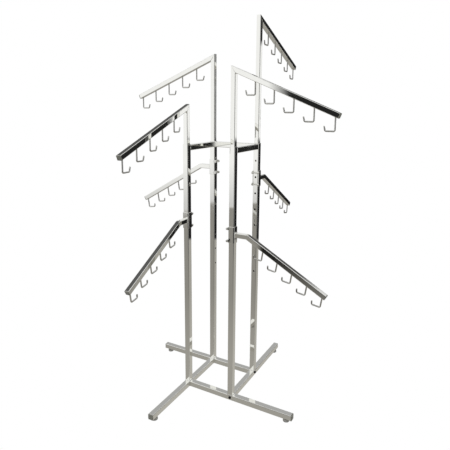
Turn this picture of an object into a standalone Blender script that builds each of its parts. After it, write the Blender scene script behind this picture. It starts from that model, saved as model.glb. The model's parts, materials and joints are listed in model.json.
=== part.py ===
"""Four way clothing rack: four telescoping square posts, a slanting hook arm on top of each one,
a second hook arm clamped lower down, three crossbars and a pinwheel floor frame.

Metres, +Z up. The origin is on the floor, midway between the four posts.
Each side of the rack is modelled once, in its own frame: the post stands on the local Z axis
and its leg and arms run along local -Y. The four frames are turned a quarter turn apart.
"""

import math

import bmesh
import bpy
from mathutils import Vector

# Tubes
TUBE = 0.0254
TUBE_WALL = 0.0020
TUBE_CORNER = 0.0024
INNER = 0.0206
INNER_WALL = 0.0015
INNER_CORNER = 0.0020
GAP = 0.0003

# Floor frame and posts
POST_SPACING = 0.232
LEG_REACH = 0.299
LEG_BOTTOM = 0.0140
LEG_TOP = LEG_BOTTOM + TUBE
LEG_Z = LEG_BOTTOM + TUBE / 2
POST_TOP = 1.1800
CROSSBAR_Z = 1.1655
CORNER_BOLT_RADIUS = 0.0030
CORNER_BOLT_DOME = ((-0.0042, 0.0030), (-0.0036, 0.0052), (-0.0022, 0.0064), (0.0, 0.0066))
CORNER_BOLT_TAIL = 0.0140

# Floor glides: radii of the foot from the floor up, then the stem
GLIDE_INSET = 0.026
GLIDE_FOOT = ((0.0, 0.0120), (0.0015, 0.0140), (0.0085, 0.0140), (0.0110, 0.0108), (0.0136, 0.0085))
GLIDE_STEM_RADIUS = 0.0040
GLIDE_STEM_TOP = 0.0320

# Height holes, counted from the top one down
HOLE_TOP_Z = 1.1000
HOLE_PITCH = 0.0762
HOLE_COUNT = 8
HOLE_RADIUS = 0.0043
HOLE_USED = {"front_left": 5, "front_right": 3, "back_right": 0, "back_left": 2}

# Top arms: height of the arm's centre line over the post, with the button in the top hole
TOP_ARM_Z = 1.7190
TOP_SLOPE = math.radians(22.1)
TOP_LENGTH = 0.4696
TOP_HOOK_FIRST = 0.1060
TOP_HOOK_PITCH = 0.0880
INNER_BELOW_BUTTON = 0.025

# Lower arms: height of each bracket's middle on its post
LOWER_Z = {"front_left": 0.8386, "front_right": 0.8034, "back_right": 1.0178, "back_left": 1.0555}
LOWER_SLOPE = math.radians(29.7)
LOWER_STUB = 0.0711
LOWER_LENGTH = 0.3993
LOWER_HOOK_FIRST = 0.0899
LOWER_HOOK_PITCH = 0.0751
LOWER_BEND = 0.018

# Wire hooks: drop, run back towards the post, upturned tip and the tip's lean
HOOK_COUNT = 5
WIRE_RADIUS = 0.0032
HOOK_BEND = 0.006
TOP_HOOK = (0.0550, 0.0370, 0.0200, math.radians(14), 0.0)
LOWER_HOOK = (0.0460, 0.0360, 0.0165, math.radians(8), math.radians(9))

# Clamp brackets
BRACKET_WALL = 0.0025
BRACKET_HALF = 0.0360
LUG_REACH = 0.0118
LUG_HALF = 0.0062
LUG_CHAMFER = 0.0030
BOLT_OFFSET = 0.0270
BOLT_RADIUS = 0.0030
BOLT_BEHIND = 0.0056

# Clamp bolts: low domed head, hexagon nut and the thread's end beyond it
BOLT_DOME = ((0.0, 0.0055), (0.0008, 0.0052), (0.0014, 0.0044), (0.0018, 0.0032))
NUT_FLATS = 0.0100
NUT_THICK = 0.0042
BOLT_TAIL = 0.0062

# End plugs: how far the plain face stands out, and its rim
PLUG_FACE = 0.0036
PLUG_RIM = 0.0026
LEG_PLUG_DEPTH = 0.0120
ARM_PLUG_DEPTH = 0.0045

# Each side's post, as signs of X and Y, and the turn of its frame in degrees
SIDES = {
    "front_left": (-1, -1, 0),
    "front_right": (1, -1, 90),
    "back_right": (1, 1, 180),
    "back_left": (-1, 1, 270),
}
CROSSBARS = {"front_left": "crossbar_left", "back_right": "crossbar_right", "back_left": "crossbar_back"}


def clear_scene():
    for obj in list(bpy.data.objects):
        bpy.data.objects.remove(obj, do_unlink=True)


def make_material(name, colour, roughness, metallic):
    material = bpy.data.materials.new(name)
    material.use_nodes = True
    shader = material.node_tree.nodes["Principled BSDF"]
    shader.inputs["Base Color"].default_value = (*colour, 1.0)
    shader.inputs["Roughness"].default_value = roughness
    shader.inputs["Metallic"].default_value = metallic
    material.diffuse_color = (*colour, 1.0)
    return material


def make_empty(name, location, turn_deg=0.0, parent=None):
    empty = bpy.data.objects.new(name, None)
    empty.empty_display_size = 0.05
    empty.location = location
    empty.rotation_euler = (0.0, 0.0, math.radians(turn_deg))
    empty.parent = parent
    bpy.context.scene.collection.objects.link(empty)
    return empty


def make_object(name, mesh_builder, material, parent, helper=False):
    mesh = bpy.data.meshes.new(name)
    bm = bmesh.new()
    mesh_builder(bm)
    bmesh.ops.recalc_face_normals(bm, faces=bm.faces)
    bm.to_mesh(mesh)
    bm.free()
    mesh.shade_smooth()
    mesh.set_sharp_from_angle(angle=math.radians(32))
    obj = bpy.data.objects.new(name, mesh)
    obj.parent = parent
    bpy.context.scene.collection.objects.link(obj)
    if material is not None:
        mesh.materials.append(material)
    if helper:
        obj.hide_render = True
        obj.display_type = "WIRE"
    return obj


def boolean(obj, other, operation):
    modifier = obj.modifiers.new(operation.lower(), "BOOLEAN")
    modifier.operation = operation
    modifier.solver = "EXACT"
    modifier.object = other


# Profiles, as lists of (x, n) going round anticlockwise


def rounded_square(half, radius, steps=2):
    points = []
    for corner in range(4):
        middle = math.pi / 4 + corner * math.pi / 2
        centre = half - radius
        cx = math.copysign(centre, math.cos(middle))
        cn = math.copysign(centre, math.sin(middle))
        for step in range(steps + 1):
            angle = corner * math.pi / 2 + step * math.pi / 2 / steps
            points.append((cx + radius * math.cos(angle), cn + radius * math.sin(angle)))
    return points


def circle(radius, count):
    return [
        (radius * math.cos(2 * math.pi * i / count), radius * math.sin(2 * math.pi * i / count))
        for i in range(count)
    ]


def hexagon(across_flats, count=12):
    """A hexagon with a point at the middle of each flat, so that it lofts to a 12-sided shaft."""
    points = []
    for i in range(count):
        radius = across_flats / 2 if i % 2 == 0 else across_flats / 2 / math.cos(math.pi / 6)
        angle = 2 * math.pi * i / count
        points.append((radius * math.cos(angle), radius * math.sin(angle)))
    return points


# Paths lie in the local YZ plane: each station is a point and the direction of the profile's n there


def normal_of(direction):
    return Vector((0.0, direction.z, -direction.y))


def mitre_normal(before, after):
    """The n direction in the plane that halves the corner, stretched so that the walls stay as thick."""
    middle = (normal_of(before) + normal_of(after)).normalized()
    return middle / middle.dot(normal_of(before))


def stations_along(points, first_normal=None, last_normal=None):
    stations = []
    for i, point in enumerate(points):
        before = (points[i] - points[i - 1]).normalized() if i else None
        after = (points[i + 1] - points[i]).normalized() if i + 1 < len(points) else None
        if before is None:
            normal = first_normal or normal_of(after)
        elif after is None:
            normal = last_normal or normal_of(before)
        else:
            normal = mitre_normal(before, after)
        stations.append((point, normal))
    return stations


def rounded_path(corners, radius, steps=2):
    """The corners' polyline with every inner corner replaced by an arc."""
    points = [corners[0]]
    for previous, corner, following in zip(corners, corners[1:], corners[2:]):
        to_previous = (previous - corner).normalized()
        to_following = (following - corner).normalized()
        half = to_previous.angle(to_following) / 2
        centre = corner + (to_previous + to_following).normalized() * radius / math.sin(half)
        start = (corner + to_previous * radius / math.tan(half) - centre).normalized()
        end = (corner + to_following * radius / math.tan(half) - centre).normalized()
        for step in range(steps + 1):
            points.append(centre + start.slerp(end, step / steps) * radius)
    points.append(corners[-1])
    return points


def ring(bm, profile, station):
    point, normal = station
    across = Vector((1.0, 0.0, 0.0))
    return [bm.verts.new(point + across * x + normal * n) for x, n in profile]


def bridge(bm, first, second):
    count = len(first)
    for i in range(count):
        j = (i + 1) % count
        bm.faces.new((first[i], first[j], second[j], second[i]))


def solid_sweep(bm, profile, stations):
    rings = [ring(bm, profile, station) for station in stations]
    for first, second in zip(rings, rings[1:]):
        bridge(bm, first, second)
    bm.faces.new(list(reversed(rings[0])))
    bm.faces.new(rings[-1])


def hollow_sweep(bm, outer, inner, stations):
    outside = [ring(bm, outer, station) for station in stations]
    inside = [ring(bm, inner, station) for station in stations]
    for first, second in zip(outside, outside[1:]):
        bridge(bm, first, second)
    for first, second in zip(inside, inside[1:]):
        bridge(bm, second, first)
    bridge(bm, inside[0], outside[0])
    bridge(bm, outside[-1], inside[-1])


def loft(bm, start, direction, sections):
    """Closed solid through profiles set square to the direction: (distance, profile) for each one."""
    rings = []
    for distance, profile in sections:
        rings.append(ring(bm, profile, (start + direction * distance, normal_of(direction))))
    for first, second in zip(rings, rings[1:]):
        bridge(bm, first, second)
    bm.faces.new(list(reversed(rings[0])))
    bm.faces.new(rings[-1])


def loft_across(bm, centre, sections):
    """The same along local X, for bolts that lie across the post."""
    rings = []
    for x, profile in sections:
        rings.append([bm.verts.new(centre + Vector((x, a, b))) for a, b in profile])
    for first, second in zip(rings, rings[1:]):
        bridge(bm, first, second)
    bm.faces.new(list(reversed(rings[0])))
    bm.faces.new(rings[-1])


def box(bm, low, high):
    made = bmesh.ops.create_cube(bm, size=1.0)["verts"]
    for vert in made:
        for axis in range(3):
            middle = (low[axis] + high[axis]) / 2
            vert.co[axis] = middle + vert.co[axis] * (high[axis] - low[axis])


TUBE_OUT = rounded_square(TUBE / 2, TUBE_CORNER)
TUBE_IN = rounded_square(TUBE / 2 - TUBE_WALL, 0.0008)
INNER_OUT = rounded_square(INNER / 2, INNER_CORNER)
INNER_IN = rounded_square(INNER / 2 - INNER_WALL, 0.0007)


def point(y, z):
    return Vector((0.0, y, z))


# Pieces of one side, each in the side's frame


def leg_builder(bm):
    path = [point(POST_SPACING - TUBE / 2 - GAP, LEG_Z), point(-LEG_REACH, LEG_Z)]
    hollow_sweep(bm, TUBE_OUT, TUBE_IN, stations_along(path))


def leg_holes_builder(bm):
    """The corner bolt's hole through both side walls, and the glide's hole in the bottom wall."""
    loft_across(bm, point(0.0, LEG_Z), [(-0.02, circle(0.0034, 12)), (0.02, circle(0.0034, 12))])
    down = [point(-LEG_REACH + GLIDE_INSET, LEG_Z - 0.004), point(-LEG_REACH + GLIDE_INSET, 0.005)]
    solid_sweep(bm, circle(0.0046, 12), stations_along(down))


def post_builder(bm):
    path = [point(0.0, LEG_TOP + GAP), point(0.0, POST_TOP)]
    hollow_sweep(bm, TUBE_OUT, TUBE_IN, stations_along(path))


def post_holes_builder(bm):
    for i in range(HOLE_COUNT):
        z = HOLE_TOP_Z - i * HOLE_PITCH
        solid_sweep(bm, circle(HOLE_RADIUS, 10), stations_along([point(0.005, z), point(0.020, z)]))


def crossbar_builder(bm):
    reach = TUBE / 2 + GAP
    path = [point(reach, CROSSBAR_Z), point(POST_SPACING - reach, CROSSBAR_Z)]
    hollow_sweep(bm, TUBE_OUT, TUBE_IN, stations_along(path))


def cap_sections(half, corner, plug_half, plug_depth):
    face = rounded_square(half - 0.0012, corner * 0.6)
    rim = rounded_square(half - 0.0001, corner)
    plug = rounded_square(plug_half, 0.0007)
    return [(PLUG_FACE, face), (PLUG_RIM, rim), (GAP, rim), (GAP, plug), (-plug_depth, plug)]


def leg_cap_builder(bm):
    sections = cap_sections(TUBE / 2, TUBE_CORNER, TUBE / 2 - TUBE_WALL - GAP, LEG_PLUG_DEPTH)
    loft(bm, point(-LEG_REACH, LEG_Z), Vector((0.0, -1.0, 0.0)), sections)


def glide_builder(bm):
    """Round foot under the leg, with a stem that stands in the leg's bottom wall."""
    sections = [(z, circle(r, 16)) for z, r in GLIDE_FOOT]
    stem = circle(GLIDE_STEM_RADIUS, 16)
    sections += [(GLIDE_FOOT[-1][0], stem), (GLIDE_STEM_TOP, stem)]
    loft(bm, point(-LEG_REACH + GLIDE_INSET, 0.0), Vector((0.0, 0.0, 1.0)), sections)


def corner_bolt_builder(bm):
    """Domed head on the leg's side, and a shaft through both of its side walls."""
    face = -TUBE / 2 - 0.0002
    shaft = circle(CORNER_BOLT_RADIUS, 12)
    sections = [(face + x, circle(r, 12)) for x, r in CORNER_BOLT_DOME]
    sections += [(face, shaft), (TUBE / 2 + CORNER_BOLT_TAIL, shaft)]
    loft_across(bm, point(0.0, LEG_Z), sections)


def inner_post_builder(bm, top_z, button_z):
    up = Vector((0.0, 0.0, 1.0))
    out = Vector((0.0, -math.cos(TOP_SLOPE), -math.sin(TOP_SLOPE)))
    path = [point(0.0, button_z - INNER_BELOW_BUTTON), point(0.0, top_z) - up * 0.00025]
    hollow_sweep(bm, INNER_OUT, INNER_IN, stations_along(path, last_normal=mitre_normal(up, out)))


def button_hole_builder(bm, button_z):
    solid_sweep(bm, circle(0.0041, 12), stations_along([point(0.004, button_z), point(0.014, button_z)]))


def button_builder(bm, button_z):
    """Flange inside the inner post, and a domed pin that stands just inside the outer post's wall."""
    radii = [(0.0038, 0.0040), (0.0041, 0.0054), (0.0053, 0.0054)]
    radii += [(0.0053, 0.0037), (0.0092, 0.0037), (0.0101, 0.0031), (0.01058, 0.0018)]
    loft(bm, point(0.0, button_z), Vector((0.0, 1.0, 0.0)), [(y, circle(r, 12)) for y, r in radii])


def top_arm_builder(bm, top_z):
    up = Vector((0.0, 0.0, 1.0))
    out = Vector((0.0, -math.cos(TOP_SLOPE), -math.sin(TOP_SLOPE)))
    start = point(0.0, top_z)
    path = [start + out * 0.00025, start + out * TOP_LENGTH]
    hollow_sweep(bm, INNER_OUT, INNER_IN, stations_along(path, first_normal=mitre_normal(up, out)))


def hook_builder(bm, under, shape):
    """One wire hook. It starts inside the arm, drops, runs back towards the post and turns up."""
    drop, run, tip, lean, tilt = shape
    down = Vector((0.0, math.sin(tilt), -math.cos(tilt)))
    back = Vector((0.0, math.cos(tilt), math.sin(tilt)))
    rise = -down * math.cos(lean) + back * math.sin(lean)
    bottom = under + down * (drop - WIRE_RADIUS)
    corner = bottom + back * run
    corners = [under - down * 0.0042, bottom, corner, corner + rise * tip]
    solid_sweep(bm, circle(WIRE_RADIUS, 8), stations_along(rounded_path(corners, HOOK_BEND)))


def top_hooks_builder(bm, top_z):
    out = Vector((0.0, -math.cos(TOP_SLOPE), -math.sin(TOP_SLOPE)))
    for i in range(HOOK_COUNT):
        centre = point(0.0, top_z) + out * (TOP_HOOK_FIRST + i * TOP_HOOK_PITCH)
        hook_builder(bm, centre - normal_of(out) * INNER / 2, TOP_HOOK)


def top_cap_builder(bm, top_z):
    out = Vector((0.0, -math.cos(TOP_SLOPE), -math.sin(TOP_SLOPE)))
    sections = cap_sections(INNER / 2, INNER_CORNER, INNER / 2 - INNER_WALL - GAP, ARM_PLUG_DEPTH)
    loft(bm, point(0.0, top_z) + out * TOP_LENGTH, out, sections)


def bracket_builder(bm, middle_z):
    """Side view of the bracket: a full-height saddle with two lugs behind the post."""
    front = -(TUBE / 2 + GAP + BRACKET_WALL)
    back = TUBE / 2 - 0.0004
    lug = TUBE / 2 + LUG_REACH
    outline = [(front, -BRACKET_HALF), (back, -BRACKET_HALF)]
    for middle in (-BOLT_OFFSET, BOLT_OFFSET):
        low = middle - LUG_HALF
        high = middle + LUG_HALF
        outline += [(back, low), (lug - LUG_CHAMFER, low), (lug, low + LUG_CHAMFER)]
        outline += [(lug, high - LUG_CHAMFER), (lug - LUG_CHAMFER, high), (back, high)]
    outline += [(back, BRACKET_HALF), (front, BRACKET_HALF)]
    half = TUBE / 2 + GAP + BRACKET_WALL
    centre = point(0.0, middle_z)
    loft_across(bm, centre, [(-half, outline), (half, outline)])


def bracket_channel_builder(bm, middle_z):
    half = TUBE / 2 + GAP
    low = (-half, -half, middle_z - 0.05)
    high = (half, 0.05, middle_z + 0.05)
    box(bm, low, high)


def bracket_holes_builder(bm, middle_z):
    for z in (-BOLT_OFFSET, BOLT_OFFSET):
        centre = point(TUBE / 2 + BOLT_BEHIND, middle_z + z)
        loft_across(bm, centre, [(-0.022, circle(0.0034, 12)), (0.022, circle(0.0034, 12))])


def clamp_bolt_builder(bm, bolt_z):
    """Shaft through both lugs: the nut and the thread's end on local -X, the low dome on local +X."""
    side = TUBE / 2 + GAP + BRACKET_WALL + 0.0002
    nut = hexagon(NUT_FLATS)
    shaft = circle(BOLT_RADIUS, 12)
    sections = [(-side - BOLT_TAIL, shaft), (-side - NUT_THICK, shaft), (-side - NUT_THICK, nut)]
    sections += [(-side, nut), (-side, shaft), (side, shaft)]
    sections += [(side + rise, circle(radius, 12)) for rise, radius in BOLT_DOME]
    loft_across(bm, point(TUBE / 2 + BOLT_BEHIND, bolt_z), sections)


def lower_arm_path(middle_z):
    out = Vector((0.0, -math.cos(LOWER_SLOPE), -math.sin(LOWER_SLOPE)))
    knee = point(-LOWER_STUB, middle_z)
    start = point(-(TUBE / 2 + 2 * GAP + BRACKET_WALL), middle_z)
    return knee, out, [start, knee, knee + out * LOWER_LENGTH]


def lower_arm_builder(bm, middle_z):
    corners = lower_arm_path(middle_z)[2]
    hollow_sweep(bm, INNER_OUT, INNER_IN, stations_along(rounded_path(corners, LOWER_BEND)))


def lower_hooks_builder(bm, middle_z):
    knee, out, _ = lower_arm_path(middle_z)
    for i in range(HOOK_COUNT):
        centre = knee + out * (LOWER_HOOK_FIRST + i * LOWER_HOOK_PITCH)
        hook_builder(bm, centre - normal_of(out) * INNER / 2, LOWER_HOOK)


def lower_cap_builder(bm, middle_z):
    _, out, path = lower_arm_path(middle_z)
    sections = cap_sections(INNER / 2, INNER_CORNER, INNER / 2 - INNER_WALL - GAP, ARM_PLUG_DEPTH)
    loft(bm, path[-1], out, sections)


def make_side(name, materials):
    sign_x, sign_y, turn = SIDES[name]
    half = POST_SPACING / 2
    side = make_empty(f"side_{name}", (sign_x * half, sign_y * half, 0.0), turn)
    button_z = HOLE_TOP_Z - HOLE_USED[name] * HOLE_PITCH
    top_z = TOP_ARM_Z - HOLE_USED[name] * HOLE_PITCH
    lower_z = LOWER_Z[name]
    frame = materials["frame_chrome"]
    arm = materials["arm_chrome"]

    leg = make_object(f"leg_tube_{name}", leg_builder, frame, side)
    boolean(leg, make_object(f"cut_leg_{name}", leg_holes_builder, None, side, helper=True), "DIFFERENCE")
    post = make_object(f"post_tube_{name}", post_builder, frame, side)
    boolean(post, make_object(f"cut_post_{name}", post_holes_builder, None, side, helper=True), "DIFFERENCE")
    if name in CROSSBARS:
        make_object(CROSSBARS[name], crossbar_builder, frame, side)
    make_object(f"leg_cap_{name}", leg_cap_builder, materials["cap_plastic"], side)
    make_object(f"corner_bolt_{name}", corner_bolt_builder, materials["black_steel"], side)
    make_object(f"floor_glide_{name}", glide_builder, materials["glide_plastic"], side)

    inner_post = lambda bm: inner_post_builder(bm, top_z, button_z)
    inner = make_object(f"inner_post_{name}", inner_post, arm, side)
    hole = lambda bm: button_hole_builder(bm, button_z)
    boolean(inner, make_object(f"cut_inner_{name}", hole, None, side, helper=True), "DIFFERENCE")
    button = lambda bm: button_builder(bm, button_z)
    make_object(f"snap_button_{name}", button, materials["button_steel"], side)
    top = make_object(f"top_arm_{name}", lambda bm: top_arm_builder(bm, top_z), arm, side)
    hooks = lambda bm: top_hooks_builder(bm, top_z)
    boolean(top, make_object(f"join_top_hooks_{name}", hooks, None, side, helper=True), "UNION")
    plug = lambda bm: top_cap_builder(bm, top_z)
    make_object(f"top_arm_cap_{name}", plug, materials["cap_plastic"], side)

    saddle = lambda bm: bracket_builder(bm, lower_z)
    bracket = make_object(f"clamp_bracket_{name}", saddle, materials["bracket_chrome"], side)
    channel = lambda bm: bracket_channel_builder(bm, lower_z)
    boolean(bracket, make_object(f"cut_channel_{name}", channel, None, side, helper=True), "DIFFERENCE")
    holes = lambda bm: bracket_holes_builder(bm, lower_z)
    boolean(bracket, make_object(f"cut_bolts_{name}", holes, None, side, helper=True), "DIFFERENCE")
    for label, offset in (("upper", BOLT_OFFSET), ("lower", -BOLT_OFFSET)):
        bolt = lambda bm, z=lower_z + offset: clamp_bolt_builder(bm, z)
        make_object(f"clamp_bolt_{label}_{name}", bolt, materials["bolt_steel"], side)
    lower = make_object(f"lower_arm_{name}", lambda bm: lower_arm_builder(bm, lower_z), arm, side)
    hooks = lambda bm: lower_hooks_builder(bm, lower_z)
    boolean(lower, make_object(f"join_lower_hooks_{name}", hooks, None, side, helper=True), "UNION")
    plug = lambda bm: lower_cap_builder(bm, lower_z)
    make_object(f"lower_arm_cap_{name}", plug, materials["cap_plastic"], side)


def main():
    clear_scene()
    materials = {
        "frame_chrome": make_material("frame_chrome", (0.80, 0.81, 0.82), 0.08, 1.0),
        "arm_chrome": make_material("arm_chrome", (0.80, 0.81, 0.82), 0.10, 1.0),
        "bracket_chrome": make_material("bracket_chrome", (0.76, 0.77, 0.78), 0.16, 1.0),
        "bolt_steel": make_material("bolt_steel", (0.58, 0.58, 0.57), 0.28, 1.0),
        "black_steel": make_material("black_steel", (0.035, 0.035, 0.035), 0.38, 1.0),
        "button_steel": make_material("button_steel", (0.70, 0.70, 0.69), 0.20, 1.0),
        "cap_plastic": make_material("cap_plastic", (0.30, 0.30, 0.26), 0.50, 0.0),
        "glide_plastic": make_material("glide_plastic", (0.42, 0.42, 0.40), 0.45, 0.0),
    }
    for name in SIDES:
        make_side(name, materials)


main()
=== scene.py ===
# %% [markdown]
# # A four way clothing rack
#
# A chrome rack for a shop floor: four telescoping square posts on a pinwheel floor frame, each
# with a sloping hook arm on top and a second one clamped lower down. The measured model is
# loaded first, as a frame that gives every place and size, and each new piece hangs on its body.
# The cells after that build the surfaces that are seen, finish by finish and piece by piece.

# %% Load the measured rack
import math

import bmesh
import bpy
import json
import numpy as np
from mathutils import Matrix, Vector


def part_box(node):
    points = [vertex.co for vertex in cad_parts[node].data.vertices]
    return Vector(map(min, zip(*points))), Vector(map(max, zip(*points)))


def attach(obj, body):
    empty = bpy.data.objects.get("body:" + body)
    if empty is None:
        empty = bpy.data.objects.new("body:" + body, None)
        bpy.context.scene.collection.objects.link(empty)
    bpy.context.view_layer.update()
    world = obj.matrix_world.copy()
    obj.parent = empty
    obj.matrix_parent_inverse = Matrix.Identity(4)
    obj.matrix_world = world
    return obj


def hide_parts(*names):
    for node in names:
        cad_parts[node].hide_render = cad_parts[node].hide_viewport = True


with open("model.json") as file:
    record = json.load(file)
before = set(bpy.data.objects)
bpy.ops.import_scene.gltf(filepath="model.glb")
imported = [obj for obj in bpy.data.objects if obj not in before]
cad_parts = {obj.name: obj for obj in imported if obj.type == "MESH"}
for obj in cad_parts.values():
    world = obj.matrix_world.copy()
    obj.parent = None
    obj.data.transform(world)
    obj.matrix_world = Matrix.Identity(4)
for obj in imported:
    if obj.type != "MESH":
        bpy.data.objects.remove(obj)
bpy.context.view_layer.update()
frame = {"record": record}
SIDES = {"front_left": 0, "front_right": 1, "back_right": 2, "back_left": 3}

# %% [markdown]
# ## The camera
#
# A rack this tall is pictured from about eye height and two metres away, with a lens a little
# wider than normal. The camera looks slightly down, is turned a touch off level as a hand-held
# one is, and the frame is shifted down a little so that the upright posts hardly converge.

# %% Camera
SENSOR_MM = 36.0
LENS_MM = 36.728
CAMERA_PLACE = (1.0085, -1.8009, 1.3476)
CAMERA_AZIMUTH = math.radians(28.93)
CAMERA_PITCH = math.radians(11.32)
CAMERA_ROLL = math.radians(0.39)
SHIFT_DOWN = -0.0613333


def camera_axes(azimuth, pitch, roll):
    """Right, up and backward unit vectors of a camera that looks down by pitch, from the azimuth."""
    level = math.cos(pitch)
    back = Vector((math.sin(azimuth) * level, -math.cos(azimuth) * level, math.sin(pitch)))
    right = Vector((math.cos(azimuth), math.sin(azimuth), 0.0))
    up = back.cross(right)
    turned_right = right * math.cos(roll) + up * math.sin(roll)
    turned_up = up * math.cos(roll) - right * math.sin(roll)
    return turned_right, turned_up, back


camera_data = bpy.data.cameras.new("camera")
camera_data.sensor_width = SENSOR_MM
camera_data.lens = LENS_MM
camera_data.shift_y = SHIFT_DOWN
camera_data.clip_start = 0.05
camera = bpy.data.objects.new("camera", camera_data)
bpy.context.scene.collection.objects.link(camera)
turn = Matrix(camera_axes(CAMERA_AZIMUTH, CAMERA_PITCH, CAMERA_ROLL)).transposed()
camera.matrix_world = Matrix.Translation(CAMERA_PLACE) @ turn.to_4x4()
bpy.context.scene.camera = camera
print("the lens is", round(camera_data.lens, 1), "mm")

# %% [markdown]
# ## Node helper
#
# Every finish here is a few noises and some arithmetic. Written as Python expressions they stay
# readable: a small class wraps a socket, and its operators add the Math nodes.


# %% Sockets as expressions
class Wire:
    """A socket that arithmetic can be done on. Each operator adds one Math node and returns its result."""

    def __init__(self, tree, socket):
        self.tree = tree
        self.socket = socket

    def math(self, operation, *others, clamp=False, flip=False):
        node = self.tree.nodes.new("ShaderNodeMath")
        node.operation = operation
        node.use_clamp = clamp
        for slot, value in zip(node.inputs, (*others, self) if flip else (self, *others)):
            connect(self.tree, slot, value)
        return Wire(self.tree, node.outputs[0])

    def __add__(self, other):
        return self.math("ADD", other)

    def __mul__(self, other):
        return self.math("MULTIPLY", other)

    def __sub__(self, other):
        return self.math("SUBTRACT", other)

    def __rsub__(self, other):
        return self.math("SUBTRACT", other, flip=True)

    __radd__ = __add__
    __rmul__ = __mul__

    def above(self, edge, soft):
        """0 below the edge and 1 above it, over a soft stretch."""
        return ((self - (edge - soft / 2)) * (1 / soft)).math("ADD", 0.0, clamp=True)

    def between(self, low, high, soft):
        """1 between two edges and 0 outside them."""
        return self.above(low, soft) * (1 - self.above(high, soft))


def connect(tree, socket, value):
    """Puts a number, a colour or a link on a socket."""
    if isinstance(value, Wire):
        tree.links.new(value.socket, socket)
    else:
        socket.default_value = value


class Nodes:
    """A node tree whose nodes are made by one call: type, settings, then values and links of sockets."""

    def __init__(self, tree):
        self.tree = tree

    def make(self, kind, settings=None, output=0, **sockets):
        node = self.tree.nodes.new(kind)
        for key, value in (settings or {}).items():
            setattr(node, key, value)
        for key, value in sockets.items():
            connect(self.tree, node.inputs[key.replace("_", " ")], value)
        return Wire(self.tree, node.outputs[output]) if node.outputs else None

    def split(self, vector):
        """The three numbers of a vector."""
        node = self.tree.nodes.new("ShaderNodeSeparateXYZ")
        connect(self.tree, node.inputs[0], vector)
        return [Wire(self.tree, out) for out in node.outputs]

    def blend(self, amount, first, second):
        """Mixes two colours by a factor."""
        node = self.tree.nodes.new("ShaderNodeMix")
        node.data_type = "RGBA"
        connect(self.tree, node.inputs[0], amount)
        connect(self.tree, node.inputs[6], first)
        connect(self.tree, node.inputs[7], second)
        return Wire(self.tree, node.outputs[2])


def shade(colour, factor=1.0):
    """A colour with its alpha, darkened or lightened."""
    return (*[channel * factor for channel in colour], 1.0)


# %% [markdown]
# ## The studio
#
# Chrome has hardly any colour of its own: it shows the room. The room here is a plain white
# studio with a pale floor, and its darker stretches, where the lamps do not reach, are what
# draws the black edges that make chrome look like chrome. A mirror picks its light by
# direction alone, so the room is a function of bearing and height: white walls, dark gaps
# between them, soft boxes overhead and a warm grey floor below.

# %% Room helper
WHITE = (1.0, 1.0, 1.0)
WARM = (1.0, 0.965, 0.885)
WALL = 0.95
GAP = 0.018

world = bpy.data.worlds.new("studio")
bpy.context.scene.world = world
world.use_nodes = True
world.node_tree.nodes.clear()
room = Nodes(world.node_tree)
along_x, along_y, along_z = room.split(room.make("ShaderNodeTexCoord", output=0))
height = along_z.math("ARCSINE") * math.degrees(1)
bearing = along_y.math("ARCTAN2", along_x) * math.degrees(1)

print("bearing 0 is +X; walls are", WALL, "bright and gaps", GAP)

# %% Walls
# Each stretch of the room is from, to and the softness of its ends, in degrees of bearing or height.
LEFT_WALL, FAR_WALL = (-181, -112.5, 2.5), (109, 181, 10)
WINDOW, WINDOW_POST, WINDOW_RISE = (54.5, 65.6, 0.3), (59.2, 60.5, 0.4), (-4.1, 7.2, 0.7)
BOARD, BOARD_RISE = (-74, -59.7, 0.5), (-14, 6, 2)
DIM_PANEL, GREY_PANEL = (-50, -26, 8), (-22, 24, 8)
WALL_FOOT = (-9.5, 5)

walls = bearing.between(*LEFT_WALL) * WALL
walls = walls + bearing.between(*FAR_WALL) * 0.85
walls = walls + bearing.between(*WINDOW) * height.between(*WINDOW_RISE) * WALL
walls = walls - bearing.between(*WINDOW_POST) * height.between(*WINDOW_RISE) * 0.72
walls = walls + bearing.between(*BOARD) * height.between(*BOARD_RISE) * WALL
walls = walls + bearing.between(*DIM_PANEL) * 0.22 + bearing.between(*GREY_PANEL) * 0.50 + GAP
walls = walls * (0.70 + height.above(*WALL_FOOT) * 0.30)
print("the widest wall spans", LEFT_WALL[1] - LEFT_WALL[0], "degrees")

# %% Lamps overhead
# They are bright in front and dim behind, with one notch.
SOFT_BOX_SIDE, SOFT_BOX_BACK = (79, 131, 3), (131, 181, 3)
NOTCH, NOTCH_RISE = (78.3, 95, 1), (15, 33, 2)
CEILING = (22, 9)

soft_box = 0.95 - bearing.between(*SOFT_BOX_SIDE) * 0.52 - bearing.between(*SOFT_BOX_BACK) * 0.84
soft_box = soft_box - bearing.between(*NOTCH) * height.between(*NOTCH_RISE) * 0.33
ceiling = height.above(*CEILING)
upper = walls * (1 - ceiling) + soft_box * ceiling
print("the lamps start", CEILING[0], "degrees up")

# %% Ground
# It is darker far off in front, and the line where it meets the wall is lower in places.
FAR_FLOOR, FAR_FLOOR_START, FAR_FLOOR_END = (-114.4, -60, 0.6), (-22.3, 7), (-10, 5)
NEAR_FLOOR, LIT_FLOOR = (-90, -27, 8), (50, 76, 4)
LOW_SIDE, LOW_FRONT = (40, 108, 2), (-112.5, 30, 1)
STEP, LONG_STEP = (-119.5, -116.5, 0.5), (-140, -122, 0.5)

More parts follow.
